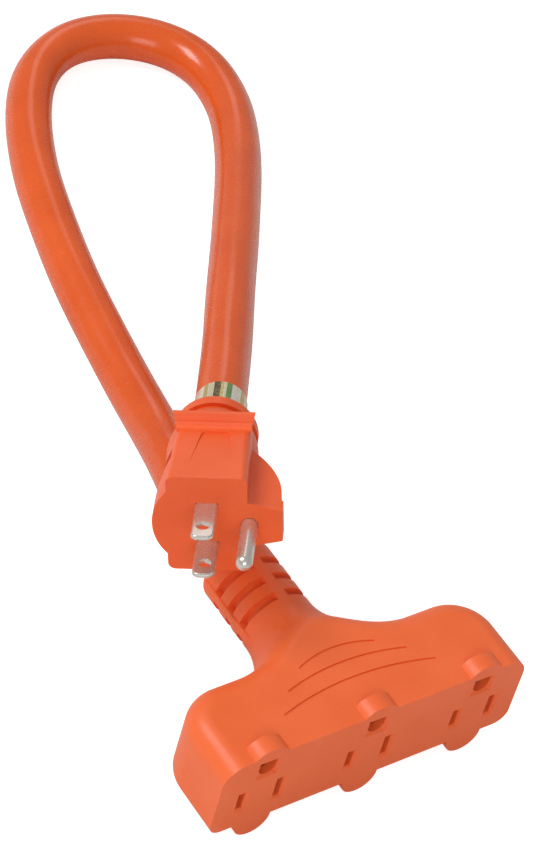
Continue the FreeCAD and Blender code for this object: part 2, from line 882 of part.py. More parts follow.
def plug_back_form():
    """The round shoulder behind the ridge, its waist, and the disc that the cord comes out of."""
    start = panel_length
    disc_front = plug_length - disc_thickness
    edge = 1.2
    shoulder_radius = cord_radius + shoulder_wall
    waist_radius = cord_radius + waist_wall
    disc_radius = cord_radius + disc_wall
    shoulder_end = Vector(shoulder_radius, 0, -start - ridge_thickness)
    waist = Vector(waist_radius, 0, -disc_front)
    bulge = (shoulder_end + waist) * 0.5 + Vector(1.0, 0, -0.8)
    points = [
        Vector(0, 0, -start),
        Vector(shoulder_radius, 0, -start),
        shoulder_end,
        waist,
        Vector(disc_radius, 0, -disc_front),
        Vector(disc_radius, 0, -plug_length + edge),
        Vector(disc_radius - edge, 0, -plug_length),
        Vector(0, 0, -plug_length),
    ]
    turn = edge * (1 - math.sqrt(0.5))
    rim = Vector(disc_radius - turn, 0, -plug_length + turn)
    edges = [
        line(points[0], points[1]),
        line(points[1], points[2]),
        arc(points[2], bulge, points[3]),
        line(points[3], points[4]),
        line(points[4], points[5]),
        arc(points[5], rim, points[6]),
        line(points[6], points[7]),
        line(points[7], points[0]),
    ]
    form = Part.Face(Part.Wire(edges)).revolve(Vector(0, 0, 0), Z, 360)
    form.translate(X * cord_shift)
    return form


def ground_wing():
    """The long wing on the ground pin's side, with a step at its tip."""
    root = plug_back_half_width - 2
    face = prism(polygon([
        Vector(root, -ground_wing_root, -panel_length - 4),
        Vector(ground_wing_reach, -ground_wing_tip, -panel_length - 4),
        Vector(ground_wing_reach, ground_wing_tip, -panel_length - 4),
        Vector(root, ground_wing_root, -panel_length - 4),
    ]), Z * (panel_length + 4))
    tip = ground_wing_reach - wing_tab_step
    low = -plug_half_height
    a = Vector(root, low, 0)
    b = Vector(ground_wing_reach, low, 0)
    c = Vector(ground_wing_reach, low, -wing_tab_length)
    d = Vector(tip, low, -wing_tab_length)
    middle = Vector(ground_wing_reach - 2.7, low, -17.2)
    end = Vector(plug_back_half_width, low, -panel_length - 0.6)
    inner = Vector(root, low, -panel_length - 0.6)
    plan = prism(
        [line(a, b), line(b, c), line(c, d), arc(d, middle, end), line(end, inner), line(inner, a)],
        Y * (2 * plug_half_height),
    )
    return face.common(plan)


def back_wing():
    """The short bowed wing on the side away from the ground pin."""
    root = -plug_back_half_width + 2
    edge = -plug_half_width
    h = back_wing_half_height
    z = -back_wing_length
    face = prism([
        line(Vector(root, -h, z), Vector(edge, -h, z)),
        arc(Vector(edge, -h, z), Vector(-back_wing_reach, 0, z), Vector(edge, h, z)),
        line(Vector(edge, h, z), Vector(root, h, z)),
        line(Vector(root, h, z), Vector(root, -h, z)),
    ], Z * back_wing_length)
    low = -plug_half_height
    a = Vector(root, low, 0)
    b = Vector(-back_wing_reach, low, 0)
    middle = Vector(-back_wing_reach + 1.3, low, -back_wing_length * 0.62)
    end = Vector(edge, low, z)
    inner = Vector(root, low, z)
    plan = prism(
        [line(a, b), arc(b, middle, end), line(end, inner), line(inner, a)],
        Y * (2 * plug_half_height),
    )
    return face.common(plan)


def panel_recess():
    """The shallow tapered recess in a panel, deepest at the ridge and running out to the front."""
    top = plug_half_height
    outline = polygon([
        Vector(recess_shift - recess_front_width / 2, top - recess_depth, -recess_front),
        Vector(recess_shift + recess_front_width / 2, top - recess_depth, -recess_front),
        Vector(recess_shift + recess_back_width / 2, top - recess_depth, -recess_back),
        Vector(recess_shift - recess_back_width / 2, top - recess_depth, -recess_back),
    ])
    cut = prism(outline, Y * (2 * recess_depth))
    corners = [
        e for e in cut.Edges
        if e.BoundBox.YLength > recess_depth and abs(e.BoundBox.ZMin + recess_back) < 0.01
    ]
    cut = cut.makeFillet(1.6, corners)
    tilt = math.degrees(math.atan2(recess_depth, recess_back - recess_front))
    cut.rotate(Vector(0, top - recess_depth, -recess_back), X, -tilt)
    return cut


def plug_chambers():
    """The spaces inside the plug for the bridge, the crimps and the cores."""
    room = crimp_back - plug_room_depth
    crimps = box(
        (-plug_room_half_width, -plug_room_half_height, room),
        (plug_room_half_width, plug_room_half_height, bridge_back),
    )
    ground = box(
        (ground_rise - ground_room_half_width, -ground_room_half_height, crimp_back - 1.2),
        (ground_rise + ground_room_half_width, ground_room_half_height, bridge_back),
    )
    end = Vector(cord_shift, 0, room)
    cone = Part.makeCone(plug_room_half_height, cord_radius, room - jacket_stop, end, Z * -1)
    return [plug_bridge_space(), crimps, ground, cone]


def plug_bridge_space():
    """The outside of the bridge that holds the blades and the pin."""
    main = box(
        (-bridge_half_width, -bridge_half_height, bridge_back),
        (bridge_half_width, bridge_half_height, -plug_face_wall),
    )
    lobe = box(
        (0, -bridge_ground_width, bridge_back),
        (ground_rise + bridge_ground_width, bridge_ground_width, -plug_face_wall),
    )
    return main.fuse(lobe).removeSplitter()


def blade(y):
    """One blade: a chamfered tip, a hole, and a narrow tail inside the plug."""
    half = blade_width / 2
    corner = 1.9
    low = y - blade_thickness / 2
    root = bridge_back
    bend = corner * (1 - math.sqrt(0.5))
    tip = blade_length
    a = Vector(-half, low, root)
    b = Vector(-half, low, tip - corner)
    b2 = Vector(-half + bend, low, tip - bend)
    c = Vector(-half + corner, low, tip)
    d = Vector(half - corner, low, tip)
    d2 = Vector(half - bend, low, tip - bend)
    e = Vector(half, low, tip - corner)
    f = Vector(half, low, root)
    plate = prism(
        [line(a, b), arc(b, b2, c), line(c, d), arc(d, d2, e), line(e, f), line(f, a)],
        Y * blade_thickness,
    )
    bevel = 0.4
    tip_edges = [
        g for g in plate.Edges
        if g.BoundBox.YLength < 0.01 and g.BoundBox.ZMin > tip - corner - 0.01
    ]
    plate = plate.makeChamfer(bevel, tip_edges)
    hole = Part.makeCylinder(
        blade_hole_radius, blade_thickness + 1, Vector(0, low - 0.5, blade_hole_place), Y
    )
    tail = box(
        (-tail_width / 2, y - strip_thickness / 2, crimp_back + fit_gap),
        (tail_width / 2, y + strip_thickness / 2, root),
    )
    return plate.cut(hole).fuse(tail).removeSplitter()


def ground_pin():
    """The round ground pin with a domed nose and a flat tail."""
    straight = ground_pin_length - ground_pin_radius
    bar = Part.makeCylinder(ground_pin_radius, straight, Vector(ground_rise, 0, 0), Z)
    root = Part.makeCylinder(ground_root_radius, -bridge_back, Vector(ground_rise, 0, bridge_back), Z)
    nose = Part.makeSphere(ground_pin_radius, Vector(ground_rise, 0, straight))
    tail = box(
        (ground_rise - tail_width / 2, -strip_thickness / 2, crimp_back + fit_gap),
        (ground_rise + tail_width / 2, strip_thickness / 2, bridge_back),
    )
    return bar.fuse([root, nose, tail]).removeSplitter()


def plug_metal_cuts():
    """The blades' and the pin's passages through the face and the bridge."""
    half = blade_width / 2
    cuts = []
    for y in (blade_spacing / 2, -blade_spacing / 2):
        cuts.append(box(
            (-half, y - blade_thickness / 2, bridge_back),
            (half, y + blade_thickness / 2, 0.01),
        ))
    root = Vector(ground_rise, 0, bridge_back)
    cuts.append(Part.makeCylinder(ground_root_radius, 0.01 - bridge_back, root, Z))
    relief = Vector(ground_rise, 0, -relief_depth)
    cuts.append(Part.makeCylinder(ground_pin_radius + relief_gap, relief_depth + 0.01, relief, Z))
    return cuts


def plug_overmould():
    """The plug's outer moulding."""
    ridge = plug_ridge()
    other_ridge = ridge.mirror(Vector(0, 0, 0), Y)
    form = plug_block().fuse([ridge, other_ridge, plug_back_form(), ground_wing(), back_wing()])
    form = form.removeSplitter()
    recess = panel_recess()
    other_recess = recess.mirror(Vector(0, 0, 0), Y)
    bore = Part.makeCylinder(cord_radius, plug_anchor, Vector(cord_shift, 0, -plug_length), Z)
    cuts = [recess, other_recess, bore] + plug_metal_cuts() + plug_chambers()
    return form.cut(cuts)


def plug_bridge():
    """The hard inner piece that holds the blades and the pin in line."""
    return plug_bridge_space().cut(plug_metal_cuts())


def plug_crimp(name):
    """A crimp on one tail in the plug."""
    x, y = tail_places[name]
    sleeve = crimp_sleeve()
    if core_sides[name] < 0:
        sleeve.rotate(Vector(0, 0, 0), Z, 180)
    sleeve.translate(Vector(x, y, crimp_back))
    return sleeve


def cord_label(last):
    """A thin foil band round the cord beside the plug."""
    start = route[-1] - last * (label_gap + label_length)
    outer = Part.makeCylinder(cord_radius + label_thickness, label_length, start, last)
    inner = Part.makeCylinder(cord_radius, label_length, start, last)
    return outer.cut(inner)


# ---- the whole object ---------------------------------------------------------------------
def build():
    """Every piece by name."""
    pieces, path, last = cord_pieces()
    parts = {
        "socket_block": socket_block(),
        "block_cover": block_cover(),
        "line_bus": blade_bus(line_slot, line_strip_z, -tail_offset),
        "neutral_bus": blade_bus(neutral_slot, neutral_strip_z, tail_offset),
        "ground_bus": ground_bus(),
        "cord_jacket": pieces["cord_jacket"],
        "cord_fillers": pieces["cord_fillers"],
        "cord_label": cord_label(last),
        "plug_bridge": placed_in_plug(plug_bridge()),
        "line_blade": placed_in_plug(blade(tail_places["line"][1])),
        "neutral_blade": placed_in_plug(blade(tail_places["neutral"][1])),
        "ground_pin": placed_in_plug(ground_pin()),
    }
    tap_passages = []
    plug_passages = []
    for name, place in zip(("line", "neutral", "ground"), tails()):
        parts[name + "_tap_crimp"] = tap_crimp(*place)
        parts[name + "_plug_crimp"] = placed_in_plug(plug_crimp(name))
        insulation, conductor, tap_run, plug_run_points = with_ends(name, pieces, last)
        parts[name + "_insulation"] = insulation
        parts[name + "_conductor"] = conductor
        tap_passages.append(bend_run(tap_run, core_radius + core_room))
        plug_passages.append(bend_run(plug_run_points, core_radius + core_room))
    parts["tap_overmould"] = tap_overmould().cut(tap_passages)
    parts["plug_overmould"] = placed_in_plug(plug_overmould()).cut(plug_passages)
    return parts


os.makedirs("parts", exist_ok=True)
for node, shape in build().items():
    print(node, "valid", shape.isValid(), "solids", len(shape.Solids), "volume", round(shape.Volume, 1))
    shape.exportStep("parts/" + node + ".step")
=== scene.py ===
import math

import bmesh
import bpy
import numpy as np
from mathutils import Matrix, Vector


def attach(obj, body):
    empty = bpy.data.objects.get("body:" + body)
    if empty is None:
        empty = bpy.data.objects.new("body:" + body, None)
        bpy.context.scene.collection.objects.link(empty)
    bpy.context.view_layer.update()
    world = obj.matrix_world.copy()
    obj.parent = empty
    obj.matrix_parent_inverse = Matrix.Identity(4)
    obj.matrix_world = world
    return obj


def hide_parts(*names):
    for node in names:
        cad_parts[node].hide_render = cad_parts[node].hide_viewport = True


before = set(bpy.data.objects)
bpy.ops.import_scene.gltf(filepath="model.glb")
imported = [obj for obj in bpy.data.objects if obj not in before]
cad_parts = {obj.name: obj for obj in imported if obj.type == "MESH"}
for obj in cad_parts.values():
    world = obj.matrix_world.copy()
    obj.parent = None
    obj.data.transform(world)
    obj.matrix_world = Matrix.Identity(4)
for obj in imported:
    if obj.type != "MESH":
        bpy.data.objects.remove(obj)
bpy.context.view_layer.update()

# ---- camera -------------------------------------------------------------------------------
# It looks down at the tap's front left corner from about a metre away.
camera_data = bpy.data.cameras.new("camera")
camera_data.sensor_width = 36.0
camera_data.lens = 150.2
camera = bpy.data.objects.new("camera", camera_data)
camera.location = (-0.4941, -0.4629, 0.7754)
camera.rotation_euler = [math.radians(angle) for angle in (44.104, -11.592, -32.768)]
bpy.context.scene.collection.objects.link(camera)
bpy.context.scene.camera = camera

# ---- cord ---------------------------------------------------------------------------------
# A heavy-duty three-core cord in a glossy orange vinyl jacket, a little lobed by its twisted cores.
# It leaves the tap's neck, sinks to the floor, turns in a loop and climbs to the plug on the neck.
mm = 0.001
cord_diameter = 15.5 * mm
neck_end = Vector((0.0, 36.75 * mm, 19.6 * mm))
plug_face_place = Vector((-22.0 * mm, 29.1 * mm, 55.4 * mm))
plug_length = 48.5 * mm
plug_run = 27.0 * mm
cord_shift = -1.5 * mm        # the cord is off the blades' middle, away from the ground pin
plug_heading, plug_climb, plug_roll = math.radians(-129.7), math.radians(11.9), math.radians(13.7)
pins_way = Vector((
    math.cos(plug_climb) * math.cos(plug_heading),
    math.cos(plug_climb) * math.sin(plug_heading),
    math.sin(plug_climb),
))
level_way = Vector((-math.sin(plug_heading), math.cos(plug_heading), 0.0))
ground_way = level_way * math.cos(plug_roll) + pins_way.cross(level_way) * math.sin(plug_roll)
plug_back = plug_face_place - pins_way * plug_length + ground_way * cord_shift
route_mm = [
    (0.0, 57.0, 19.6),
    (6.0, 78.0, 17.5),
    (13.0, 100.0, 10.5),
    (17.5, 123.0, 7.75),
    (21.0, 146.5, 7.75),
    (25.5, 170.0, 7.75),
    (31.5, 194.0, 7.75),
    (39.0, 218.0, 7.75),
    (49.5, 240.5, 7.75),
    (63.0, 258.5, 7.75),
    (80.0, 267.5, 7.75),
    (98.0, 266.5, 7.75),
    (113.0, 257.0, 7.75),
    (120.5, 242.0, 7.75),
    (119.0, 223.5, 7.75),
    (109.5, 203.5, 11.0),
    (90.0, 174.5, 17.5),
    (55.0, 128.5, 29.8),
]
route = [neck_end] + [Vector(point) * mm for point in route_mm]
route = route + [plug_back - pins_way * plug_run, plug_back]


def smooth_line(points, steps):
    """Points along the NURBS spline of order 3 that has these control points."""
    curve = bpy.data.curves.new("route", "CURVE")
    curve.dimensions = "3D"
    curve.resolution_u = steps
    spline = curve.splines.new("NURBS")
    spline.points.add(len(points) - 1)
    for control, point in zip(spline.points, points):
        control.co = (*point, 1.0)
    spline.order_u = 3
    spline.use_endpoint_u = True
    holder = bpy.data.objects.new("route", curve)
    mesh = bpy.data.meshes.new_from_object(holder)
    line = np.empty(len(mesh.vertices) * 3)
    mesh.vertices.foreach_get("co", line)
    bpy.data.objects.remove(holder)
    bpy.data.meshes.remove(mesh)
    return line.reshape(-1, 3)


def along(line):
    """The distance from a line's start to each of its points: the sum of the steps before it."""
    steps = np.linalg.norm(np.diff(line, axis=0), axis=1)
    return np.concatenate([[0.0], np.cumsum(steps)])


def section_axes(line):
    """At each point, the tangent T, the level direction T x Z made unit, and their cross product."""
    tangent = np.gradient(line, axis=0)
    tangent /= np.linalg.norm(tangent, axis=1)[:, None]
    across = np.cross(tangent, [0.0, 0.0, 1.0])
    across /= np.linalg.norm(across, axis=1)[:, None]
    return tangent, across, np.cross(across, tangent)


def mesh_piece(name, points, faces, uv):
    """A smooth-shaded mesh object from arrays of points and faces, with one uv pair a point."""
    mesh = bpy.data.meshes.new(name)
    mesh.from_pydata(points.tolist(), [], faces)
    corner_points = np.empty(len(mesh.loops), dtype=np.int32)
    mesh.loops.foreach_get("vertex_index", corner_points)
    layer = mesh.uv_layers.new(name="surface")
    layer.data.foreach_set("uv", uv[corner_points].astype(np.float32).ravel())
    mesh.shade_smooth()
    piece = bpy.data.objects.new(name, mesh)
    bpy.context.scene.collection.objects.link(piece)
    return piece


def tube(name, line, radii):
    """A closed tube: point (i, j) is line[i] + radii[i, j] (cos a across + sin a up), a = 2 pi j / n."""
    rings, around = radii.shape
    tangent, across, rise = section_axes(line)
    turn = np.arange(around) * 2 * math.pi / around
    ring = np.cos(turn)[None, :, None] * across[:, None, :] + np.sin(turn)[None, :, None] * rise[:, None, :]
    points = (line[:, None, :] + radii[:, :, None] * ring).reshape(-1, 3)
    points = np.concatenate([points, line[:1], line[-1:]])
    first, last = rings * around, rings * around + 1
    i, j = np.meshgrid(np.arange(rings - 1), np.arange(around), indexing="ij")
    k = (j + 1) % around
    quads = np.stack([i * around + j, (i + 1) * around + j, (i + 1) * around + k, i * around + k], -1)
    j = np.arange(around)
    k = (j + 1) % around
    end = (rings - 1) * around
    start_cap = np.stack([np.full(around, first), j, k], -1)
    end_cap = np.stack([np.full(around, last), end + k, end + j], -1)
    faces = quads.reshape(-1, 4).tolist() + start_cap.tolist() + end_cap.tolist()
    distance = np.repeat(along(line), around)
    uv = np.stack([np.tile(turn / (2 * math.pi), rings), distance], -1)
    uv = np.concatenate([uv, [[0.5, 0.0], [0.5, distance[-1]]]])
    return mesh_piece(name, points, faces, uv)


line_steps = 24               # between two control points
cord_line = smooth_line(route, line_steps)
grip = 4.0 * mm               # the jacket runs this far into the tap and into the plug
lobe_height = 0.05 * mm
lobe_lay = 150.0 * mm         # one turn of the cores under the jacket
lobe_fade = 20.0 * mm         # the lobes die out this far from each end,
lobe_still = 0.2              # and this part of it stays round
sides = 72
first_step = (cord_line[1] - cord_line[0]) / np.linalg.norm(cord_line[1] - cord_line[0])
last_step = (cord_line[-1] - cord_line[-2]) / np.linalg.norm(cord_line[-1] - cord_line[-2])
gripped = np.concatenate([[cord_line[0] - first_step * grip], cord_line, [cord_line[-1] + last_step * grip]])
place = along(gripped)[:, None]
angle = (np.arange(sides) * 2 * math.pi / sides)[None, :]
fade = np.clip(np.minimum(place, place[-1] - place) / lobe_fade - lobe_still, 0.0, 1.0)
lobes = np.cos(3 * (angle - 2 * math.pi * place / lobe_lay))
# the jacket is squeezed a little at the tight turn, on the inside and outside of the bend
squeeze_at, squeeze_reach, squeeze_depth = 252 * mm, 16 * mm, 0.5 * mm
squeeze = squeeze_depth * np.exp(-(((place - squeeze_at) / squeeze_reach) ** 2))
radii = cord_diameter / 2 + lobe_height * (lobes - 1) * fade - squeeze * np.cos(angle) ** 2
cord = tube("cord", gripped, radii)
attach(cord, "root")
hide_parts("cord_jacket")


def new_material(name):
    """An empty node material with its Principled shader, ready for a finish."""
    material = bpy.data.materials.new(name)
    material.use_nodes = True
    nodes = material.node_tree.nodes
    shader = next(node for node in nodes if node.type == "BSDF_PRINCIPLED")
    return material, nodes, material.node_tree.links, shader


def skin_group():
    """Moulded vinyl's surface: a soft cloudiness, a fine even grain, and their sum as a height."""
    group = bpy.data.node_groups.new("moulded_skin", "ShaderNodeTree")
    group.interface.new_socket("Coordinates", in_out="INPUT", socket_type="NodeSocketVector")
    group.interface.new_socket("Cloud Scale", in_out="INPUT", socket_type="NodeSocketFloat")
    group.interface.new_socket("Grain Scale", in_out="INPUT", socket_type="NodeSocketFloat")
    group.interface.new_socket("Cloud", in_out="OUTPUT", socket_type="NodeSocketFloat")
    group.interface.new_socket("Grain", in_out="OUTPUT", socket_type="NodeSocketFloat")
    nodes, links = group.nodes, group.links
    source = nodes.new("NodeGroupInput")
    result = nodes.new("NodeGroupOutput")
    cloud = nodes.new("ShaderNodeTexNoise")
    cloud.inputs["Detail"].default_value = 3.0
    grain = nodes.new("ShaderNodeTexNoise")
    grain.inputs["Detail"].default_value = 2.0
    grain.inputs["Roughness"].default_value = 0.6
    links.new(source.outputs["Coordinates"], cloud.inputs["Vector"])
    links.new(source.outputs["Coordinates"], grain.inputs["Vector"])
    links.new(source.outputs["Cloud Scale"], cloud.inputs["Scale"])
    links.new(source.outputs["Grain Scale"], grain.inputs["Scale"])
    links.new(cloud.outputs["Fac"], result.inputs["Cloud"])
    links.new(grain.outputs["Fac"], result.inputs["Grain"])
    return group


moulded_skin = skin_group()


def between(nodes, links, mask, low, high, at=(0.3, 0.7)):
    """A number that goes from low to high as a mask goes from at[0] to at[1]."""
    step = nodes.new("ShaderNodeMapRange")
    step.inputs["From Min"].default_value = at[0]
    step.inputs["From Max"].default_value = at[1]
    step.inputs["To Min"].default_value = low
    step.inputs["To Max"].default_value = high
    links.new(mask, step.inputs["Value"])
    return step.outputs["Result"]


def tint(nodes, links, mask, first, second):
    """A colour that goes from first to second over the middle of a mask."""
    ramp = nodes.new("ShaderNodeValToRGB")
    ramp.color_ramp.elements[0].position = 0.3
    ramp.color_ramp.elements[1].position = 0.7
    ramp.color_ramp.elements[0].color = (*first, 1.0)
    ramp.color_ramp.elements[1].color = (*second, 1.0)
    links.new(mask, ramp.inputs["Fac"])
    return ramp.outputs["Color"]


def bump(nodes, links, height, strength, distance):
    """A normal from a height."""
    node = nodes.new("ShaderNodeBump")
    node.inputs["Strength"].default_value = strength
    node.inputs["Distance"].default_value = distance
    links.new(height, node.inputs["Height"])
    return node.outputs["Normal"]


def vinyl(name, colour, deep_colour, roughness, coat, grain_scale, grain_depth):
    """Orange vinyl: clouded colour, uneven gloss, a fine moulded grain, and a little light inside."""
    material, nodes, links, shader = new_material(name)
    place = nodes.new("ShaderNodeTexCoord")
    skin = nodes.new("ShaderNodeGroup")
    skin.node_tree = moulded_skin
    skin.inputs["Cloud Scale"].default_value = 60.0
    skin.inputs["Grain Scale"].default_value = grain_scale
    links.new(place.outputs["Object"], skin.inputs["Coordinates"])
    cloud, grain = skin.outputs["Cloud"], skin.outputs["Grain"]
    links.new(tint(nodes, links, cloud, deep_colour, colour), shader.inputs["Base Color"])
    links.new(between(nodes, links, grain, roughness - 0.05, roughness + 0.06), shader.inputs["Roughness"])
    links.new(bump(nodes, links, grain, 0.35, grain_depth), shader.inputs["Normal"])
    shader.inputs["Specular IOR Level"].default_value = 0.35
    shader.inputs["Coat Weight"].default_value = coat
    shader.inputs["Coat Roughness"].default_value = 0.12
    shader.inputs["Subsurface Weight"].default_value = 0.12
    shader.inputs["Subsurface Scale"].default_value = 0.002
    shader.inputs["Subsurface Radius"].default_value = (1.0, 0.35, 0.12)
    return material


cord.data.materials.append(vinyl(
    "cord_vinyl",
    colour=(0.80, 0.116, 0.016),
    deep_colour=(0.72, 0.096, 0.011),
    roughness=0.24,
    coat=0.2,
    grain_scale=1600.0,
    grain_depth=0.00003,
))

# ---- foil label -----------------------------------------------------------------------------
# A printed foil strip wrapped round the cord beside the plug, its free end standing off a little.
# It has bands of colour and foil and no lettering.
foil_gap = 1.0 * mm
foil_width = 13.5 * mm
foil_thickness = 0.12 * mm
foil_wrap = math.radians(338)
foil_start = math.radians(-62)
foil_clearance = 0.02 * mm
free_end_lift = 0.3 * mm      # how far the last 3 per cent of the strip stands off


def wrapped_strip(name, centre, way, radius, width, thickness, start, wrap, steps=120):
    """A strip round a cord: angle a = start + wrap t, radius r = radius + 0.6 thickness t + free end.

    Its edge nearest the plug is straight; the other is at width (0.9 + 0.1 sin(pi t)) from it.
    """
    across = Vector(way).cross(Vector((0.0, 0.0, 1.0))).normalized()
    rise = across.cross(Vector(way))
    turn = start + np.linspace(0.0, wrap, steps)
    part = np.linspace(0.0, 1.0, steps)
    lift = radius + 0.6 * thickness * part + free_end_lift * np.clip(part - 0.97, 0.0, 1.0) / 0.03
    bow = width * (0.9 + 0.1 * np.sin(math.pi * part))
    ring = np.cos(turn)[:, None] * np.array(across) + np.sin(turn)[:, None] * np.array(rise)
    near = np.array(centre) + lift[:, None] * ring
    far = near - bow[:, None] * np.array(way)
    outward = thickness * ring
    points = np.stack([near, far, far + outward, near + outward], 1).reshape(-1, 3)
    i = np.arange(steps - 1)[:, None] * 4
    j = np.arange(4)[None, :]
    k = (j + 1) % 4
    quads = np.stack([i + j, i + k, i + 4 + k, i + 4 + j], -1).reshape(-1, 4).tolist()
    last = (steps - 1) * 4
    faces = quads + [[3, 2, 1, 0], [last, last + 1, last + 2, last + 3]]
    side = np.tile([0.0, 1.0, 1.0, 0.0], steps)
    uv = np.stack([np.repeat(part, 4), side], -1)
    piece = mesh_piece(name, points, faces, uv)
    piece.data.set_sharp_from_angle(angle=math.radians(40))
    return piece


label = wrapped_strip(
    "cord_band",
    plug_back - pins_way * foil_gap,
    pins_way,
    cord_diameter / 2 + foil_clearance,
    foil_width,
    foil_thickness,
    foil_start,
    foil_wrap,
)
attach(label, "root")
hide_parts("cord_label")


def label_foil():
    """Crinkled cream and gold foil with a dark band across it and green blocks beside the band."""
    material, nodes, links, shader = new_material("label_foil")
    place = nodes.new("ShaderNodeUVMap")
    split = nodes.new("ShaderNodeSeparateXYZ")
    links.new(place.outputs["UV"], split.inputs["Vector"])
    bands = nodes.new("ShaderNodeValToRGB")
    ramp = bands.color_ramp
    ramp.interpolation = "CONSTANT"
    cream, gold, dark = (0.80, 0.74, 0.52, 1), (0.55, 0.42, 0.16, 1), (0.06, 0.05, 0.03, 1)
    green, pale = (0.12, 0.30, 0.10, 1), (0.86, 0.84, 0.74, 1)
    stops = [(0.0, cream), (0.12, gold), (0.17, pale), (0.30, gold), (0.33, cream), (0.375, dark),
             (0.415, gold), (0.435, cream), (0.455, green), (0.49, pale), (0.56, gold), (0.60, cream),
             (0.9, gold)]
    ramp.elements[0].position, ramp.elements[0].color = stops[0]
    ramp.elements[1].position, ramp.elements[1].color = stops[-1]
    for position, colour in stops[1:-1]:
        ramp.elements.new(position).color = colour
    links.new(split.outputs["X"], bands.inputs["Fac"])
    crinkle = nodes.new("ShaderNodeTexNoise")
    crinkle.inputs["Scale"].default_value = 700.0
    crinkle.inputs["Detail"].default_value = 3.0
    position = nodes.new("ShaderNodeTexCoord")
    links.new(position.outputs["Object"], crinkle.inputs["Vector"])
    mix = nodes.new("ShaderNodeMix")
    mix.data_type = "RGBA"
    links.new(between(nodes, links, crinkle.outputs["Fac"], 0.0, 0.35), mix.inputs["Factor"])
    links.new(bands.outputs["Color"], mix.inputs["A"])
    mix.inputs["B"].default_value = gold
    links.new(mix.outputs["Result"], shader.inputs["Base Color"])
    links.new(between(nodes, links, crinkle.outputs["Fac"], 0.15, 0.4), shader.inputs["Roughness"])
    links.new(bump(nodes, links, crinkle.outputs["Fac"], 0.6, 0.0002), shader.inputs["Normal"])
    shader.inputs["Metallic"].default_value = 0.45
    return material


label.data.materials.append(label_foil())

# ---- tap ------------------------------------------------------------------------------------
# One moulding of satin orange vinyl over the socket block: the three outlets' face, the rounded
# back and the flexible neck. Its shape is the CAD piece's, welded, with its sharp edges eased.
weld_distance = 0.002 * mm
flat_within = math.radians(0.4)     # faces this nearly level with each other become one
sharp_from = math.radians(28.0)     # edges this sharp are eased
tap_ease = 0.25 * mm


def eased_copy(node, name, ease):
    """A CAD node's shape as one welded mesh, its sharp edges rounded by ease."""
    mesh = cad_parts[node].data.copy()
    mesh.name = name
    mesh.materials.clear()
    work = bmesh.new()
    work.from_mesh(mesh)
    bmesh.ops.remove_doubles(work, verts=work.verts, dist=weld_distance)
    bmesh.ops.dissolve_limit(work, angle_limit=flat_within, verts=work.verts, edges=work.edges)
    work.to_mesh(mesh)
    work.free()
    mesh.shade_smooth()
    mesh.set_sharp_from_angle(angle=sharp_from)
    piece = bpy.data.objects.new(name, mesh)
    bpy.context.scene.collection.objects.link(piece)
    bevel = piece.modifiers.new("eased edges", "BEVEL")
    bevel.width = ease
    bevel.segments = 2
    bevel.limit_method = "ANGLE"
    bevel.angle_limit = sharp_from
    bevel.use_clamp_overlap = True
    bevel.harden_normals = False
    bevel.miter_outer = "MITER_ARC"
    weigh = piece.modifiers.new("flat faces stay flat", "WEIGHTED_NORMAL")
    weigh.keep_sharp = False
    weigh.weight = 80
    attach(piece, "root")
    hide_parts(node)
    return piece


tap = eased_copy("tap_overmould", "tap_moulding", tap_ease)
tap.data.materials.append(vinyl(
    "tap_vinyl",
    colour=(0.93, 0.165, 0.045),
    deep_colour=(0.89, 0.145, 0.034),
    roughness=0.44,
    coat=0.05,
    grain_scale=1500.0,
    grain_depth=0.00006,
))

# ---- plug -----------------------------------------------------------------------------------
# One moulding of satin orange vinyl over the bridge that holds the blades: a square body with
# finger ridges and wings, and a round collar that the cord comes out of.
plug_ease, metal_ease = 0.3 * mm, 0.12 * mm
plug = eased_copy("plug_overmould", "plug_moulding", plug_ease)
plug.data.materials.append(vinyl(
    "plug_vinyl",
    colour=(0.91, 0.135, 0.032),
    deep_colour=(0.87, 0.115, 0.024),
    roughness=0.42,
    coat=0.06,
    grain_scale=1300.0,
    grain_depth=0.00006,
))


def metal(name, colour, dull_colour, roughness, scratch_scale, metallic=1.0, spread=0.18):
    """Metal with a cloudy tarnish and fine scratches that spread its shine."""
    material, nodes, links, shader = new_material(name)
    place = nodes.new("ShaderNodeTexCoord")
    skin = nodes.new("ShaderNodeGroup")
    skin.node_tree = moulded_skin
    skin.inputs["Cloud Scale"].default_value = 250.0
    skin.inputs["Grain Scale"].default_value = scratch_scale
    links.new(place.outputs["Object"], skin.inputs["Coordinates"])
    cloud, grain = skin.outputs["Cloud"], skin.outputs["Grain"]
    links.new(tint(nodes, links, cloud, dull_colour, colour), shader.inputs["Base Color"])
    links.new(between(nodes, links, grain, roughness, roughness + spread), shader.inputs["Roughness"])
    links.new(bump(nodes, links, grain, 0.15, 0.00001), shader.inputs["Normal"])
    shader.inputs["Metallic"].default_value = metallic
    return material


nickel = metal(
    "nickel_plate",
    colour=(0.74, 0.71, 0.65),
    dull_colour=(0.66, 0.63, 0.57),
    roughness=0.26,
    scratch_scale=900.0,
    metallic=0.8,
    spread=0.05,
)
for node, name in (
    ("line_blade", "blade_line"),
    ("neutral_blade", "blade_neutral"),
    ("ground_pin", "pin_ground"),
):
    piece = eased_copy(node, name, metal_ease)
    piece.data.materials.append(nickel)

# ---- inside pieces --------------------------------------------------------------------------
# The socket block, its cover and contacts, the cores and crimps, and the plug's bridge. They are
# the CAD pieces themselves, each with its own finish; only the block shows, through the openings.


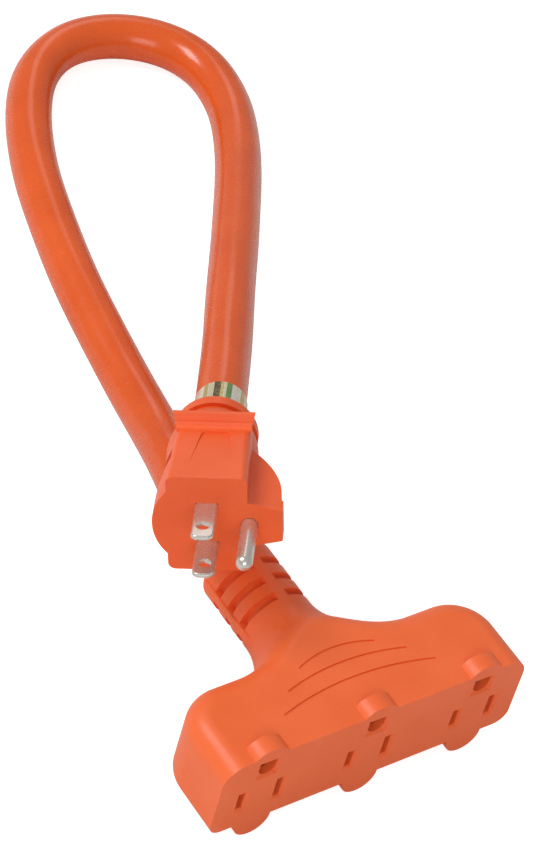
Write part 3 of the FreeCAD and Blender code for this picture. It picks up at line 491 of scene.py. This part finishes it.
def plain_moulding(name, colour, roughness):
    """Hard plastic or insulation: a speckled colour, an even gloss and a faint grain."""
    material, nodes, links, shader = new_material(name)
    place = nodes.new("ShaderNodeTexCoord")
    skin = nodes.new("ShaderNodeGroup")
    skin.node_tree = moulded_skin
    skin.inputs["Cloud Scale"].default_value = 300.0
    skin.inputs["Grain Scale"].default_value = 1800.0
    links.new(place.outputs["Object"], skin.inputs["Coordinates"])
    darker = tuple(0.8 * part for part in colour)
    links.new(tint(nodes, links, skin.outputs["Cloud"], darker, colour), shader.inputs["Base Color"])
    links.new(
        between(nodes, links, skin.outputs["Grain"], roughness - 0.05, roughness + 0.08),
        shader.inputs["Roughness"],
    )
    links.new(bump(nodes, links, skin.outputs["Grain"], 0.3, 0.00005), shader.inputs["Normal"])
    return material


inside = {
    plain_moulding("dark_block", (0.42, 0.035, 0.012), 0.5): ["socket_block", "block_cover", "plug_bridge"],
    metal("contact_brass", (0.78, 0.56, 0.22), (0.60, 0.40, 0.14), 0.25, 2000.0): [
        "line_bus", "neutral_bus", "ground_bus",
    ],
    metal("tinned_crimp", (0.74, 0.74, 0.72), (0.60, 0.60, 0.60), 0.3, 2000.0): [
        side + end for side in ("line", "neutral", "ground") for end in ("_tap_crimp", "_plug_crimp")
    ],
    metal("copper_strand", (0.85, 0.38, 0.20), (0.65, 0.25, 0.12), 0.3, 2600.0): [
        "line_conductor", "neutral_conductor", "ground_conductor",
    ],
    plain_moulding("black_insulation", (0.02, 0.02, 0.022), 0.4): ["line_insulation"],
    plain_moulding("white_insulation", (0.82, 0.82, 0.80), 0.4): ["neutral_insulation"],
    plain_moulding("green_insulation", (0.03, 0.28, 0.08), 0.4): ["ground_insulation"],
    plain_moulding("filler_twine", (0.66, 0.58, 0.42), 0.85): ["cord_fillers"],
}
for material, names in inside.items():
    for name in names:
        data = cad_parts[name].data
        data.materials.clear()
        data.materials.append(material)

# ---- floor and light ------------------------------------------------------------------------
# A white table top under soft light: a panel high on the left behind the cord, a weak one behind
# on the right, and a broad fill in front on the left. The floor glows only where it's seen directly.
floor_mesh = bpy.data.meshes.new("floor")
reach = 6.0
floor_mesh.from_pydata(
    [(-reach, -reach, 0.0), (reach, -reach, 0.0), (reach, reach, 0.0), (-reach, reach, 0.0)],
    [],
    [(0, 1, 2, 3)],
)
floor = bpy.data.objects.new("floor", floor_mesh)
bpy.context.scene.collection.objects.link(floor)
paper, paper_nodes, paper_links, paper_shader = new_material("paper")
paper_shader.inputs["Base Color"].default_value = (0.8, 0.8, 0.8, 1.0)
paper_shader.inputs["Roughness"].default_value = 0.9
paper_shader.inputs["Specular IOR Level"].default_value = 0.1
paper_shader.inputs["Emission Color"].default_value = (1.0, 1.0, 1.0, 1.0)
seen = paper_nodes.new("ShaderNodeLightPath")
glow = between(paper_nodes, paper_links, seen.outputs["Is Camera Ray"], 0.0, 0.75, (0.0, 1.0))
paper_links.new(glow, paper_shader.inputs["Emission Strength"])
floor_mesh.materials.append(paper)


def softbox(name, place, aim, width, height, power):
    """A rectangular light at place, facing aim."""
    data = bpy.data.lights.new(name, "AREA")
    data.shape = "RECTANGLE"
    data.size = width
    data.size_y = height
    data.energy = power
    light = bpy.data.objects.new(name, data)
    light.location = place
    light.rotation_euler = (Vector(aim) - Vector(place)).to_track_quat("-Z", "Y").to_euler()
    bpy.context.scene.collection.objects.link(light)


middle = (0.04, 0.11, 0.02)
softbox("key light", (-0.75, 0.75, 1.25), middle, width=0.5, height=0.7, power=13.0)
softbox("back light", (0.7, 1.3, 0.9), middle, width=0.4, height=0.7, power=1.2)
softbox("front fill", (-0.9, -1.2, 0.9), middle, width=1.0, height=0.8, power=8.8)
world = bpy.data.worlds.new("studio")
world.use_nodes = True
backdrop = world.node_tree.nodes["Background"]
backdrop.inputs["Color"].default_value = (1.0, 1.0, 1.0, 1.0)
backdrop.inputs["Strength"].default_value = 0.4
bpy.context.scene.world = world
bpy.context.scene.view_settings.view_transform = "Standard"
